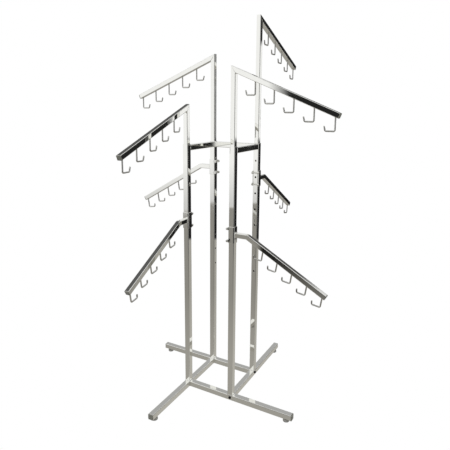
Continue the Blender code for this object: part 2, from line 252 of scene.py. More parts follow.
far_floor = height.above(*FAR_FLOOR_START) - height.above(*FAR_FLOOR_END)
far_floor = far_floor * bearing.between(*FAR_FLOOR) * 0.27
ground = 0.285 + height.between(*NEAR_FLOOR) * 0.08 + bearing.between(*LIT_FLOOR) * 0.11 - far_floor
skirting = -12.0 - bearing.between(*LOW_SIDE) * 4.5 - bearing.between(*LOW_FRONT) * 6.5
skirting = skirting - bearing.between(*STEP) * 0.6 - bearing.between(*LONG_STEP) * 1.2
is_wall = (height - skirting).above(0, 0.3)
print("the ground meets the wall 12 degrees down, or lower")

# %% Light from every direction
level = upper * is_wall + ground * (1 - is_wall)

seen = room.make("ShaderNodeLightPath", output=0)
tint = room.blend(is_wall.math("MAXIMUM", seen), shade(WARM), shade(WHITE))
background = room.make("ShaderNodeBackground", Color=tint, Strength=seen + (1 - seen) * level)
room.make("ShaderNodeOutputWorld", Surface=background)
print("the studio is ready")

# %% [markdown]
# ## The floor
#
# The rack stands on a pale disc. It is bright to the eye, so that it runs into the white
# wall behind with no line. Its mirror image comes from the studio's ground tone above, and so
# the disc itself is left out of reflections.


# %% Floor disc
FLOOR_RADIUS = 3.7
FLOOR_RINGS, FLOOR_SPOKES = 6, 96
FLOOR_IN_CHROME = 0.30
MERGE_WITHIN, SLIVER = 4e-6, 1e-7


def disc(radius, rings, spokes):
    """Rings of growing radius: (r cos a, r sin a, 0), for r from 0 to the radius and a once round."""
    around = np.arange(spokes) * 2 * np.pi / spokes
    r, a = np.meshgrid(np.linspace(0.0, radius, rings + 1), around, indexing="ij")
    return np.stack([r * np.cos(a), r * np.sin(a), np.zeros_like(r)], -1)


class Skin:
    """Gathers grids of points into one mesh. Neighbours in a grid are joined by four-sided faces."""

    def __init__(self):
        self.points = []
        self.faces = []
        self.count = 0

    def grid(self, points, closed_rows=False, closed_columns=True, keep=None):
        """Adds points[row, column]. keep says for each row which of the faces up to the next row stay."""
        rows, columns = points.shape[:2]
        index = self.count + np.arange(rows * columns).reshape(rows, columns)
        if closed_rows:
            index = np.vstack([index, index[:1]])
        if closed_columns:
            index = np.hstack([index, index[:, :1]])
        quads = np.stack([index[:-1, :-1], index[:-1, 1:], index[1:, 1:], index[1:, :-1]], -1)
        if keep is not None:
            quads = quads[keep]
        self.points.append(points.reshape(-1, 3))
        self.faces.append(quads.reshape(-1, 4))
        self.count += rows * columns
        return self

    def mesh(self, name, smooth_below=38.0):
        """The mesh, with seams and poles merged, faces outward and edges sharp where they turn."""
        mesh = bpy.data.meshes.new(name)
        mesh.from_pydata(np.vstack(self.points).tolist(), [], np.vstack(self.faces).tolist())
        work = bmesh.new()
        work.from_mesh(mesh)
        bmesh.ops.remove_doubles(work, verts=work.verts, dist=MERGE_WITHIN)
        bmesh.ops.dissolve_degenerate(work, edges=work.edges, dist=SLIVER)
        bmesh.ops.recalc_face_normals(work, faces=work.faces)
        work.to_mesh(mesh)
        open_edges = sum(1 for edge in work.edges if len(edge.link_faces) != 2)
        work.free()
        mesh.shade_smooth()
        mesh.set_sharp_from_angle(angle=math.radians(smooth_below))
        return mesh, open_edges


floor_mesh, _ = Skin().grid(disc(FLOOR_RADIUS, FLOOR_RINGS, FLOOR_SPOKES)).mesh("floor")
floor = bpy.data.objects.new("floor", floor_mesh)
floor.visible_glossy = False
bpy.context.scene.collection.objects.link(floor)

floor_material = bpy.data.materials.new("pale_floor")
floor_material.use_nodes = True
floor_material.node_tree.nodes.clear()
pale = Nodes(floor_material.node_tree)
seen = pale.make("ShaderNodeLightPath", output=0)
glow = pale.make("ShaderNodeEmission", Color=shade(WHITE), Strength=seen + (1 - seen) * FLOOR_IN_CHROME)
pale.make("ShaderNodeOutputMaterial", Surface=glow)
floor_mesh.materials.append(floor_material)
print("the floor is", 2 * FLOOR_RADIUS, "m across")


# %% [markdown]
# ## Chrome
#
# Bright chrome on tube is close to a mirror, but not quite: buffing leaves a fine grain that
# runs with the tube, handling leaves dull patches a few centimetres across, and the plate has
# tiny pits. A picture of these would do, but noises on Object coordinates have no seams and no
# resolution. The grain is one noise stretched along the tube, so each finish is told which way
# its tubes run.


# %% Chrome finish
def principled(name):
    """A new material, the helper that adds nodes to it, and its own Principled shader."""
    material = bpy.data.materials.new(name)
    material.use_nodes = True
    return material, Nodes(material.node_tree), material.node_tree.nodes["Principled BSDF"]


def set_shader(nodes, shader, **values):
    for key, value in values.items():
        connect(nodes.tree, shader.inputs[key.replace("_", " ")], value)


def stretched(nodes, place, stretch):
    """The place scaled by a different amount along each axis, which draws a noise out into streaks."""
    return nodes.make("ShaderNodeMapping", Vector=place, Scale=stretch)


def noise(nodes, place, scale, detail=2.0, roughness=0.5):
    return nodes.make("ShaderNodeTexNoise", Vector=place, Scale=scale, Detail=detail, Roughness=roughness)


PATCH_SCALE, PIT_SCALE = 11.0, 1500.0
GRAIN_DEPTH = 0.00004


def metal(name, colour, roughness, stretch, haze=0.05, grain=0.02, bump=0.05):
    """Plated metal: buffing streaks, dull patches and pits, each a noise that roughens or dents it."""
    material, nodes, shader = principled(name)
    place = nodes.make("ShaderNodeTexCoord", output=3)
    streaks = noise(nodes, stretched(nodes, place, stretch), 1.0, 3.0, 0.6)
    patches = noise(nodes, place, PATCH_SCALE, 4.0, 0.62)
    pits = noise(nodes, place, PIT_SCALE, 1.0)
    dull = patches.above(0.60, 0.16)
    pitted = pits.above(0.70, 0.06)
    tint = nodes.blend(patches, shade(colour, 0.97), shade(colour))
    tint = nodes.blend(pitted * 0.18, tint, shade(colour, 0.45))
    rough = roughness + dull * haze + streaks.above(0.55, 0.3) * grain + pitted * 0.02
    dents = streaks * 0.4 - pitted * 0.3
    relief = nodes.make("ShaderNodeBump", Height=dents, Strength=bump, Distance=GRAIN_DEPTH)
    set_shader(nodes, shader, Metallic=1.0, Base_Color=tint, Roughness=rough, Normal=relief)
    return material


CHROME = (0.905, 0.905, 0.870)
WIRE_CHROME = (0.66, 0.66, 0.63)
SHEET_CHROME = (0.87, 0.87, 0.84)
BEAD_CHROME = (0.88, 0.88, 0.85)
ACROSS_GRAIN, ALONG_GRAIN = 2200.0, 9.0
UPRIGHT = (ACROSS_GRAIN, ACROSS_GRAIN, ALONG_GRAIN)
ALONG_X = (ALONG_GRAIN, ACROSS_GRAIN, ACROSS_GRAIN)
ALONG_Y = (ACROSS_GRAIN, ALONG_GRAIN, ACROSS_GRAIN)
EVEN = (700.0, 700.0, 700.0)
finishes = {
    "post_chrome": metal("post_chrome", CHROME, 0.018, UPRIGHT),
    "x_tube_chrome": metal("x_tube_chrome", CHROME, 0.018, ALONG_X),
    "y_tube_chrome": metal("y_tube_chrome", CHROME, 0.018, ALONG_Y),
    "wire_chrome": metal("wire_chrome", WIRE_CHROME, 0.07, EVEN),
    "bracket_chrome": metal("bracket_chrome", SHEET_CHROME, 0.04, EVEN, haze=0.08),
    "weld_chrome": metal("weld_chrome", BEAD_CHROME, 0.06, EVEN, grain=0.05, bump=0.2),
}
print(len(finishes), "chrome finishes")

# %% [markdown]
# ## Bolt steel and black oxide
#
# The clamp bolts are zinc plated: greyer and duller than chrome, with a faint yellow and blue
# bloom. The bolts that draw the floor frame's corners together are black oxide, which rubs
# through to bare steel where a key has turned them.


# %% Fastener finishes
COOL_ZINC, WARM_ZINC = (0.76, 0.78, 0.79), (0.83, 0.80, 0.72)
OXIDE, BARE_STEEL = (0.012, 0.012, 0.013), (0.30, 0.29, 0.27)
NICKEL = (0.73, 0.70, 0.64)
FASTENER_DEPTH = 0.00005


def zinc(name):
    """Dull plated steel whose colour drifts between a cool and a warm grey."""
    material, nodes, shader = principled(name)
    place = nodes.make("ShaderNodeTexCoord", output=3)
    bloom = noise(nodes, place, 160.0, 3.0, 0.6)
    speckle = noise(nodes, place, 2600.0, 1.0)
    tint = nodes.blend(bloom.above(0.5, 0.5), shade(COOL_ZINC), shade(WARM_ZINC))
    relief = nodes.make("ShaderNodeBump", Height=speckle, Strength=0.15, Distance=FASTENER_DEPTH)
    dull = 0.12 + speckle * 0.12
    set_shader(nodes, shader, Metallic=1.0, Base_Color=tint, Roughness=dull, Normal=relief)
    return material


def black_oxide(name):
    """Blackened steel, worn to bright metal in small scuffs."""
    material, nodes, shader = principled(name)
    place = nodes.make("ShaderNodeTexCoord", output=3)
    scuffs = noise(nodes, place, 520.0, 4.0, 0.7).above(0.66, 0.06)
    speckle = noise(nodes, place, 2400.0, 1.0)
    tint = nodes.blend(scuffs * 0.6, shade(OXIDE), shade(BARE_STEEL))
    relief = nodes.make("ShaderNodeBump", Height=speckle, Strength=0.2, Distance=FASTENER_DEPTH)
    set_shader(nodes, shader, Metallic=scuffs * 0.5 + 0.4, Base_Color=tint, Roughness=0.42 - scuffs * 0.12)
    set_shader(nodes, shader, Normal=relief)
    return material


finishes["bolt_steel"] = zinc("zinc_bolt")
finishes["black_steel"] = black_oxide("black_bolt")
finishes["button_steel"] = metal("nickel_button", NICKEL, 0.12, EVEN, haze=0.08)
print("fastener finishes ready")

# %% [markdown]
# ## Moulded plastic
#
# The tube ends are closed by olive grey plastic plugs, and the rack stands on grey glides. Both
# come out of a spark-eroded mould, so they have a fine even grain, a little flow marbling and
# scuffs that are lighter than the rest.


# %% Plastic finish
OLIVE_GREY, WARM_GREY = (0.290, 0.290, 0.250), (0.400, 0.396, 0.365)
SCUFF_STRETCH = (900.0, 260.0, 300.0)
MOULD_DEPTH = 0.00008


def plastic(name, colour, roughness, scuff):
    """Grained plastic: marbled colour, light scuffs, and a grain that is bumped as well as dulled."""
    material, nodes, shader = principled(name)
    place = nodes.make("ShaderNodeTexCoord", output=3)
    grain = noise(nodes, place, 2100.0, 2.0)
    marble = noise(nodes, place, 70.0, 3.0, 0.6)
    scuffs = noise(nodes, stretched(nodes, place, SCUFF_STRETCH), 1.0, 3.0, 0.7).above(0.68, 0.08)
    tint = nodes.blend(marble, shade(colour, 0.86), shade(colour, 1.12))
    tint = nodes.blend(scuffs * scuff, tint, shade(colour, 1.9))
    relief = nodes.make("ShaderNodeBump", Height=grain, Strength=0.35, Distance=MOULD_DEPTH)
    set_shader(nodes, shader, Base_Color=tint, Roughness=roughness + grain * 0.12, Normal=relief)
    return material


finishes["cap_plastic"] = plastic("cap_plastic", OLIVE_GREY, 0.42, 0.35)
finishes["glide_plastic"] = plastic("glide_plastic", WARM_GREY, 0.40, 0.45)
print(len(finishes), "finishes in all")


# %% [markdown]
# ## Square tube as a surface
#
# Nearly everything here is square tube with rounded corners. In mirror-bright chrome the
# corner is what shows most: a thin line that sweeps across the whole room. A bevel modifier on
# a box could give it, but a formula gives the loop of points directly, for any half width and
# radius, so that one function serves the tubes, their rims and the plugs in their ends. Each
# arc has a guard point just beside it, so that the shading of the flats stays flat.

# %% Loops and sweeps
ARC_STEPS = 6
GUARD = 0.0003
X_AXIS = np.array([1.0, 0.0, 0.0])


def rounded_loops(halves, radius, guard=GUARD):
    """Rounded rectangles, one for each row of two halves.

    Each has four corner centres at half - radius, and about each a quarter circle of the radius.
    """
    halves = np.asarray(halves, float)[:, None, None]
    radius = np.broadcast_to(radius, len(halves))[:, None, None, None]
    start = np.arange(4)[:, None] * np.pi / 2
    angle = start + np.linspace(0.0, np.pi / 2, ARC_STEPS + 1)
    ray = np.stack([np.cos(angle), np.sin(angle)], -1)
    tangent = np.stack([-np.sin(angle), np.cos(angle)], -1)
    corner = np.sqrt(2) * np.stack([np.cos(start + np.pi / 4), np.sin(start + np.pi / 4)], -1)
    arcs = (halves - radius) * corner + radius * ray
    before = arcs[:, :, :1] - guard * tangent[:, :1]
    after = arcs[:, :, -1:] + guard * tangent[:, -1:]
    return np.concatenate([before, arcs, after], 2).reshape(len(halves), -1, 2)


def square_loops(half, radius, guard=GUARD):
    """Rounded squares, one for each half."""
    half = np.atleast_1d(half)
    return rounded_loops(np.stack([half, half], -1), radius, guard)


def polar_loops(radii, count):
    """Points (r cos a, r sin a) at even steps of a, a loop for each row of radii."""
    angle = np.arange(count) * 2 * np.pi / count
    return np.stack([radii * np.cos(angle), radii * np.sin(angle)], -1)


def resampled(loops, count):
    """The same loops with evenly spaced points, for surfaces that ripple round the loop."""
    closed = np.concatenate([loops, loops[:, :1]], 1)
    step = np.linalg.norm(np.diff(closed, axis=1), axis=-1)
    along = np.concatenate([np.zeros((len(loops), 1)), np.cumsum(step, 1)], 1)
    wanted = np.arange(count) / count
    rows = [[np.interp(wanted * s[-1], s, loop[:, k]) for k in (0, 1)] for s, loop in zip(along, closed)]
    return np.array(rows).transpose(0, 2, 1)


def swept(loops, origins, normals, across=X_AXIS):
    """Carries loops along a path: point = origin + first * across + second * normal, row by row."""
    origins, normals = np.asarray(origins), np.asarray(normals)
    return origins[:, None] + loops[..., :1] * across + loops[..., 1:] * normals[:, None]


def capped(rows):
    """Closes both ends with a pole at the middle of the end row."""
    first = np.broadcast_to(rows[0].mean(0), rows[:1].shape)
    last = np.broadcast_to(rows[-1].mean(0), rows[:1].shape)
    return np.concatenate([first, rows, last])


def lofted(loops, at, origin, way, normal, across=X_AXIS):
    """Loops carried straight along the way to the distances in at, and closed by poles."""
    origins = origin + np.asarray(at)[:, None] * way
    return capped(swept(loops, origins, np.tile(normal, (len(origins), 1)), across))


def normals_of(directions):
    """A quarter turn in the upright plane of the arm: (0, dz, -dy)."""
    directions = np.asarray(directions, float)
    return np.stack([np.zeros(len(directions)), directions[:, 2], -directions[:, 1]], -1)


def rounded_route(corners, radius, steps, guard=0.002):
    """A path of straights and arcs: each corner gets an arc of the radius and two guard points.

    Returns the points and the direction at each one. Along an arc the direction turns evenly from the
    one straight's to the other's, and the point is the centre less the radius times the inward ray.
    """
    corners = np.asarray(corners, float)
    legs = np.diff(corners, axis=0)
    ways = legs / np.linalg.norm(legs, axis=1)[:, None]
    points, turns = [corners[:1]], [ways[:1]]
    for corner, way, onward in zip(corners[1:-1], ways, ways[1:]):
        angle = np.arccos(np.clip(way @ onward, -1.0, 1.0))
        inward = onward - way * (way @ onward)
        inward /= np.linalg.norm(inward)
        reach = radius * np.tan(angle / 2)
        at = np.linspace(0.0, angle, steps + 1)[:, None]
        arc = corner - way * reach + radius * (np.sin(at) * way + (1 - np.cos(at)) * inward)
        facing = np.cos(at) * way + np.sin(at) * inward
        points += [arc[:1] - guard * way, arc, arc[-1:] + guard * onward]
        turns += [way[None], facing, onward[None]]
    return np.vstack(points + [corners[-1:]]), np.vstack(turns + [ways[-1:]])


print("a tube's loop has", square_loops(0.0127, 0.0024).shape[1], "points")

# %% [markdown]
# ## Placing a piece
#
# The four sides of the rack are one side turned three times. Each piece is worked out in its
# side's own frame, with the post on the Z axis and the arm running along -Y, and its points
# are then turned and moved to the post. The finished object stays at the origin.


# %% Pieces on the rack
def post_foot(side):
    """The middle of a post on the floor."""
    low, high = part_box(f"post_tube_{side}")
    return np.array([(low[0] + high[0]) / 2, (low[1] + high[1]) / 2, 0.0])


def quarter_turns(side):
    """The matrix that turns the side's frame to the rack's."""
    cosine, sine = [(1, 0), (0, 1), (-1, 0), (0, -1)][SIDES[side]]
    return np.array([[cosine, -sine, 0], [sine, cosine, 0], [0, 0, 1]], float)


def on_rack(points, side):
    """Turns points from the side's frame by its quarter turns and moves them to its post."""
    return points @ quarter_turns(side).T + post_foot(side)


def side_box(node, side):
    """The lowest and highest corners of a CAD node, in its side's frame."""
    corners = np.array([list(corner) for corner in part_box(node)]) - post_foot(side)
    corners = corners @ quarter_turns(side)
    return corners.min(0), corners.max(0)


tally = {"pieces": 0, "open": 0}
bodies = frame["record"]["behaviour"]["bodies"]
body_with = {node: body for body, nodes in bodies.items() for node in nodes}


def add_piece(name, grids, side, finish, node, replaces=True):
    """Makes one object of the grids, with the finish, on the body of its CAD node."""
    skin = Skin()
    for points, settings in grids:
        skin.grid(on_rack(points, side), **settings)
    mesh, open_edges = skin.mesh(name)
    mesh.materials.append(finishes[finish])
    piece = bpy.data.objects.new(name, mesh)
    bpy.context.scene.collection.objects.link(piece)
    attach(piece, body_with[node])
    if replaces:
        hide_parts(node)
    tally["pieces"] += 1
    tally["open"] += open_edges
    return piece


def run_finish(side):
    """Tubes along the side's arm run along Y on the first and third side and along X on the others."""
    return "y_tube_chrome" if SIDES[side] % 2 == 0 else "x_tube_chrome"


print("posts stand at", [post_foot(side)[:2].round(3).tolist() for side in SIDES])


# %% [markdown]
# ## Posts
#
# A post is a square tube with a row of round holes up its back, which the snap button of the
# telescoping tube springs into. A Boolean would cut them, and leave long thin triangles round
# each hole that shade badly in chrome. Here the tube's back wall is left out, and is filled by
# plain strips and, round each hole, a ring of faces that runs from a rectangle to the circle,
# through the wall and out to a rectangle again on the inside.

# %% Tube with a wall
TUBE, TUBE_WALL, TUBE_CORNER, TUBE_INSIDE_CORNER = 0.0254, 0.0020, 0.0024, 0.0008
INNER, INNER_WALL, INNER_CORNER, INNER_INSIDE_CORNER = 0.0206, 0.0015, 0.0020, 0.0007
RIM = 0.0004
Y_WAY, UP = np.array([0.0, 1.0, 0.0]), np.array([0.0, 0.0, 1.0])
BACK_STRIP = ARC_STEPS + 2
BACK_COLUMNS = 9
PATCH_HALF = 0.0075
CHAMFER = 0.0003
HOLE_GUARD = 0.12
CLOSED = {"closed_rows": True}
TUBE_SHAPE = (TUBE / 2, TUBE_WALL, TUBE_CORNER, TUBE_INSIDE_CORNER)


def tube_rows(points, ways, half, wall, corner, inside_corner, normals=None):
    """Outer loops along the path, with a small rim and a guard loop at each end, and inner loops back."""
    points, ways = np.asarray(points, float), np.asarray(ways, float)
    normals = normals_of(ways) if normals is None else np.asarray(normals)
    ends = np.array([0, 0, *range(len(points)), len(points) - 1, len(points) - 1])
    shift = np.zeros((len(ends), 1))
    shift[[1, 2, -3, -2], 0] = RIM, 3 * RIM, -3 * RIM, -RIM
    halves = np.full(len(ends), half)
    halves[[0, -1]] -= RIM
    outer = swept(square_loops(halves, corner), points[ends] + shift * ways[ends], normals[ends])
    inside = square_loops(np.full(len(points), half - wall), inside_corner)
    return np.concatenate([outer, swept(inside, points[::-1], normals[::-1])])


def hole_ring(z, radius, half, wall, widths):
    """Rows from a rectangle on the outer face to the hole's edge, through the wall and out inside."""
    side = np.linspace(-1.0, 1.0, BACK_COLUMNS)[:-1]
    edge = np.ones_like(side)
    square = np.stack([np.r_[-side, -edge, side, edge], np.r_[edge, -side, -edge, side]], -1)
    angle = np.pi / 4 + np.arange(len(square)) * 2 * np.pi / len(square)
    circle = np.stack([np.cos(angle), np.sin(angle)], -1)
    outside, inside = (square * (width, PATCH_HALF) for width in widths)
    flared = circle * (radius + CHAMFER)
    plan = [outside, flared + HOLE_GUARD * (outside - flared), flared, circle * radius]
    plan += [circle * radius, flared, flared + HOLE_GUARD * (inside - flared), inside]
    depth = [*[half] * 3, half - CHAMFER, half - wall + CHAMFER, *[half - wall] * 3]
    rows = np.stack(plan)
    level = np.broadcast_to(np.array(depth)[:, None], rows.shape[:2])
    return np.stack([rows[..., 0], level, z + rows[..., 1]], -1)


def drilled_tube(low, high, half, wall, corner, inside_corner, holes, radius, top_normal=Y_WAY):
    """The grids of an upright tube whose back wall has round holes at the given heights."""
    patch = PATCH_HALF * np.linspace(-1.0, 1.0, BACK_COLUMNS)
    heights = np.r_[low, (np.sort(holes)[:, None] + patch).ravel(), high]
    points = heights[:, None] * UP
    normals = np.tile(Y_WAY, (len(points), 1))
    normals[-1] = top_normal
    rows = tube_rows(points, np.tile(UP, (len(points), 1)), half, wall, corner, inside_corner, normals)
    columns = np.ones((len(rows), rows.shape[1]), bool)
    columns[:, BACK_STRIP] = False
    ends = rows[:, [BACK_STRIP]], rows[:, [BACK_STRIP + 1]]
    strip = ends[0] + (ends[1] - ends[0]) * np.linspace(0.0, 1.0, BACK_COLUMNS)[:, None]
    in_patch = np.tile(np.r_[np.ones(BACK_COLUMNS - 1, bool), False], len(holes))
    outer = np.r_[False, False, False, in_patch, False, False]
    inner = np.r_[False, False, in_patch[::-1][1:], False, False]
    plain = ~np.r_[outer, inner][: len(rows)]
    widths = (half - corner - GUARD, half - wall - inside_corner - GUARD)
    grids = [(rows, {**CLOSED, "keep": columns})]
    keep = np.repeat(plain[:, None], BACK_COLUMNS - 1, 1)
    grids.append((strip, {**CLOSED, "closed_columns": False, "keep": keep}))
    grids += [(hole_ring(z, radius, half, wall, widths), {}) for z in holes]
    return grids


print("a hole's patch spans", 2 * PATCH_HALF, "m of the tube")

# %% Posts
HOLE_RADIUS, HOLE_TOP_Z, HOLE_PITCH, HOLE_COUNT = 0.0043, 1.1000, 0.0762, 8


for side in SIDES:
    low, high = side_box(f"post_tube_{side}", side)
    holes = HOLE_TOP_Z - HOLE_PITCH * np.arange(HOLE_COUNT)
    grids = drilled_tube(low[2], high[2], *TUBE_SHAPE, holes, HOLE_RADIUS)
    add_piece(f"post_{side}", grids, side, "post_chrome", f"post_tube_{side}")
print("posts with", HOLE_COUNT, "holes each; edges left open:", tally["open"])

# %% [markdown]
# ## Floor frame and crossbars
#
# The four legs lie in a pinwheel: each runs under its own post, and its inner end butts
# against the side of the next one. Three short bars of the same tube tie the posts together
# near their tops, and the fourth side is left open.

# %% Legs and bars
CROSSBARS = {"front_left": "left", "back_right": "right", "back_left": "back"}


def level_tube(node, side):
    """A tube along the side's Y, between the ends of its CAD node."""
    low, high = side_box(node, side)
    middle = (low + high) / 2
    points = [(0.0, low[1], middle[2]), (0.0, high[1], middle[2])]
    return tube_rows(points, np.tile(Y_WAY, (2, 1)), *TUBE_SHAPE)


for side in SIDES:
    node = f"leg_tube_{side}"
    add_piece(f"leg_{side}", [(level_tube(node, side), CLOSED)], side, run_finish(side), node)
for side, label in CROSSBARS.items():
    node = f"crossbar_{label}"
    add_piece(f"bar_{label}", [(level_tube(node, side), CLOSED)], side, run_finish(side), node)
print(tally)

# %% [markdown]
# ## Welds
#
# Each joint is welded before plating, so the bead is chrome too, and its ripples are the
# brightest sparks on the rack. A bead is a collar round the tube: the loop swells by half an
# ellipse across the joint, and the swell ripples as it goes round. A texture would leave the
# outline of the joint sharp, which gives a computer model away at once.

# %% Weld beads
BEAD_POINTS = 168
RIPPLES = 42
TUBE_LOOP, INNER_LOOP = (TUBE / 2, TUBE_CORNER), (INNER / 2, INNER_CORNER)
# Half the width and the height of each kind of bead.
FOOT_BEAD, BUTT_BEAD, BAR_BEAD = (0.0021, 0.0013), (0.0019, 0.0010), (0.0018, 0.0009)
MITRE_BEAD, ARM_BEAD = (0.0018, 0.0007), (0.0022, 0.0018)
FLUSH = 0.0003


def bead(half, corner, origin, normal, way, width, height, onward=None):
    """A collar: the loop moved out by height * sqrt(1 - a^2) at a * width along the tube, rippled.

    Where the tube turns onward, the far half follows the new way, and the swell dies away on the outside
    of the corner, where the seam is ground flush and lies a hair below the tubes.
    """
    loop = resampled(square_loops(half, corner), BEAD_POINTS)[0]
    tangent = np.roll(loop, -1, 0) - np.roll(loop, 1, 0)
    outward = np.stack([tangent[:, 1], -tangent[:, 0]], -1)
    outward /= np.linalg.norm(outward, axis=1)[:, None]
    across = np.linspace(-1.0, 1.0, 9)[:, None]
    turn = np.arange(BEAD_POINTS) * 2 * np.pi / BEAD_POINTS
    ripple = 1.0 + 0.16 * np.sin(RIPPLES * turn + 1.6 * across**2) + 0.10 * np.sin(5 * turn + 1.0)
    share = np.ones(BEAD_POINTS)
    if onward is not None:
        share = np.clip(1.0 - (loop[:, 1] + 0.3 * half) / half, 0.0, 1.0)
    swell = height * np.sqrt(1.0 - across**2) * ripple * share - FLUSH * (1 - share)
    swell = swell - (np.abs(across) == 1.0) * RIM
    loops = loop + swell[..., None] * outward
    far = way if onward is None else onward
    origins = origin + np.minimum(across, 0.0) * width * way + np.maximum(across, 0.0) * width * far
    return swept(loops, origins, np.tile(normal, (len(across), 1)))


def add_weld(name, beads, side, node):
    """Makes one chrome object of some beads, beside the pieces that replace the node."""
    add_piece(name, [(rows, CLOSED) for rows in beads], side, "weld_chrome", node, replaces=False)


Y_NORMAL = -UP
for side in SIDES:
    low, high = side_box(f"leg_tube_{side}", side)
    post_low, _ = side_box(f"post_tube_{side}", side)
    foot = bead(*TUBE_LOOP, post_low[2] * UP, Y_WAY, UP, *FOOT_BEAD)
    inner_end = np.array([0, high[1], (low[2] + high[2]) / 2])
    butt = bead(*TUBE_LOOP, inner_end, Y_NORMAL, Y_WAY, *BUTT_BEAD)
    add_weld(f"foot_weld_{side}", [foot, butt], side, f"leg_tube_{side}")
for side, label in CROSSBARS.items():
    low, high = side_box(f"crossbar_{label}", side)
    ends = [np.array([0.0, y, (low[2] + high[2]) / 2]) for y in (low[1], high[1])]
    beads = [bead(*TUBE_LOOP, end, Y_NORMAL, Y_WAY, *BAR_BEAD) for end in ends]
    add_weld(f"bar_weld_{label}", beads, side, f"crossbar_{label}")
print("weld beads on the floor frame and bars;", tally)

# %% [markdown]
# ## Turned and hexagonal pieces
#
# Plugs, glides, bolts and buttons are all lofted from their middle line: a list of distances
# along it and radii, with the corners rounded. A hexagon is the same surface with a radius
# that depends on the angle too, cut back by a cone where a nut is chamfered.


# %% Turned surfaces
def rounded_profile(corners, radius, steps=3):
    """A profile of (distance, radius) corners with each corner rounded."""
    flat = np.c_[np.asarray(corners, float), np.zeros(len(corners))]
    return rounded_route(flat, radius, steps, guard=radius * 0.1)[0][:, :2]


def turned(profile, origin, way, count=32):
    """Circles of the profile's radii at its distances along the way, with a pole at each end."""
    profile = np.asarray(profile, float)
    across = UP if abs(way[0]) > 0.5 else X_AXIS
    loops = polar_loops(profile[:, 1:], count)
    return lofted(loops, profile[:, 0], origin, way, np.cross(way, across), across)


def hexagon_radii(half_flats, count):
    """Radius = half the width over the flats / cos(angle from the flat's middle)."""
    angle = np.arange(count) * 2 * np.pi / count
    return half_flats / np.cos((angle + np.pi / 6) % (np.pi / 3) - np.pi / 6)


def hexagonal(low, high, flats, origin, way, count=48):
    """A nut or head: a hexagon carried along its middle line, cut by a cone at its far end."""
    near_end = np.array([0.00055, 0.00044, 0.00033, 0.00022, 0.00011, 0.0])
    at = np.r_[low, high - near_end * np.sign(high - low)]
    cone = np.r_[1.0, flats * 0.47 + near_end * 1.73]
    loops = polar_loops(np.minimum(hexagon_radii(flats / 2, count), cone[:, None]), count)
    return lofted(loops, at, origin, way, np.cross(way, UP), UP)


def threaded(low, high, radius, pitch, origin, way, count=24):
    """A screw thread: radius = core + depth * triangle wave of (distance / pitch - angle / full turn)."""
    at = np.arange(low, high, pitch / 4)
    angle = np.arange(count) / count
    wave = np.abs(((at[:, None] / pitch - angle) % 1.0) * 2 - 1)
    loops = polar_loops(radius * 0.86 + radius * 0.14 * wave, count)
    return lofted(loops, at, origin, way, np.cross(way, UP), UP)


print("a hexagon's corners stand", round(float(hexagon_radii(1.0, 48).max()), 3), "times as far out")

# %% [markdown]
# ## Plugs, glides and corner bolts
#
# Each leg is closed by a moulded plug with a slightly crowned face, and stands on a round
# glide with a hexagonal base for a spanner. A button-head bolt with a hexagon socket draws
# each leg up to its neighbour.

# %% Leg ends
JOINT_GAP = 0.0003
LEG_PLUG_DEPTH, ARM_PLUG_DEPTH = 0.0120, 0.0045


def plug_rows(half, corner, wall, depth, origin, way):
    """A moulded plug: a ribbed stub inside the tube, a rim on its end and a crowned face."""
    stub = half - wall - 0.0003
    at = [-depth, -depth + 0.0012, -depth * 0.55, -depth * 0.5, -depth * 0.45, JOINT_GAP, JOINT_GAP]
    halves = [stub - 0.0007, stub, stub, stub - 0.0005, stub, stub, half - 0.0005]
    at += [0.0006, 0.0021, 0.0027, 0.0031, 0.0034, 0.0036]
    halves += [half - 0.0001, half - 0.0001, half - 0.0004, half - 0.0010, half - 0.0021, half - 0.0045]
    halves = np.array(halves)
    radii = np.where(halves > stub + 0.0001, corner - (half - halves) * 0.5, 0.0008)
    loops = square_loops(halves, np.maximum(radii, 0.0006), guard=0.0001)
    return lofted(loops, at, origin, way, normals_of([way])[0])


GLIDE_PROFILE = [(0.0, 0.0120), (0.0015, 0.0140), (0.0083, 0.0140), (0.0104, 0.0112), (0.0105, 0.0040)]
GLIDE_HEXAGON, GLIDE_STEM = 0.0068, 0.0040
SOCKET_DOME_RADIUS, SOCKET_DOME_RISE, SOCKET_DOME_ANGLE = 0.0066, 0.0040, 1.10
SOCKET_SHAFT, SOCKET_HEXAGON, SOCKET_DEPTH, SOCKET_REACH = 0.0030, 0.0021, 0.0020, 0.0396


def glide_grids(side):
    """A round foot, a hexagonal base and a stem, all about one upright line."""
    low, high = side_box(f"floor_glide_{side}", side)
    foot = np.array([(low[0] + high[0]) / 2, (low[1] + high[1]) / 2, low[2]])
    top = high[2] - low[2]
    body = turned(rounded_profile(GLIDE_PROFILE, 0.0006), foot, UP, 40)
    at = [0.0100, 0.0130, 0.0135]
    radii = np.minimum(hexagon_radii(GLIDE_HEXAGON, 48), np.array([1.0, 1.0, 0.0072])[:, None])
    base = lofted(polar_loops(radii, 48), at, foot, UP, Y_WAY)
    stem = [(0.012, GLIDE_STEM), (top - 0.0008, GLIDE_STEM), (top, GLIDE_STEM * 0.8)]
    stem = turned(stem, foot, UP, 24)
    return [(body, {}), (base, {}), (stem, {})]


